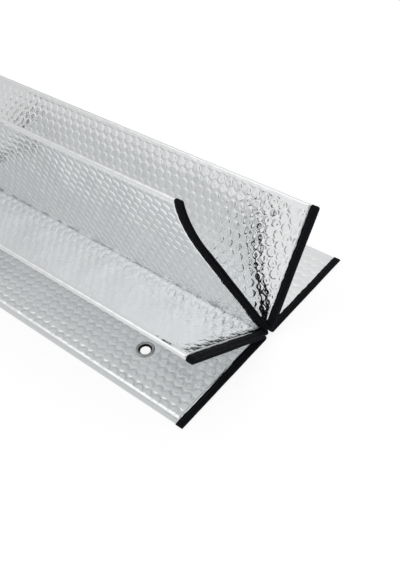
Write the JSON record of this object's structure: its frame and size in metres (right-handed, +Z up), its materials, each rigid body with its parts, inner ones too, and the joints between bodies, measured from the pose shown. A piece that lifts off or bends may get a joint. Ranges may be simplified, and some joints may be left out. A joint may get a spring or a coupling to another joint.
{
  "type": "windscreen sunshade",
  "caption": "Folding windscreen sunshade of silver bubble foil with black bound edges and a mirror notch, standing part opened like a fan.",
  "frame": {"origin": "on the surface the shade stands on, under the middle of its box", "axes": "+Z up, Y along the folds with the top edge of the shade at -Y, +X towards the last panel"},
  "size_m": [0.3382, 0.6, 0.1708],
  "materials": {
    "foil": "bright aluminised bubble film",
    "tape": "matt woven binding tape",
    "metal": "bright nickel plate"
  },
  "bodies": {
    "root": {"foil_sheet": "foil", "top_binding": "tape", "bottom_binding": "tape", "eyelet_left_top": "metal", "eyelet_left_bottom": "metal", "eyelet_right_top": "metal", "eyelet_right_bottom": "metal", "washer_left_top": "metal", "washer_left_bottom": "metal", "washer_right_top": "metal", "washer_right_bottom": "metal"}
  },
  "joints": []
}
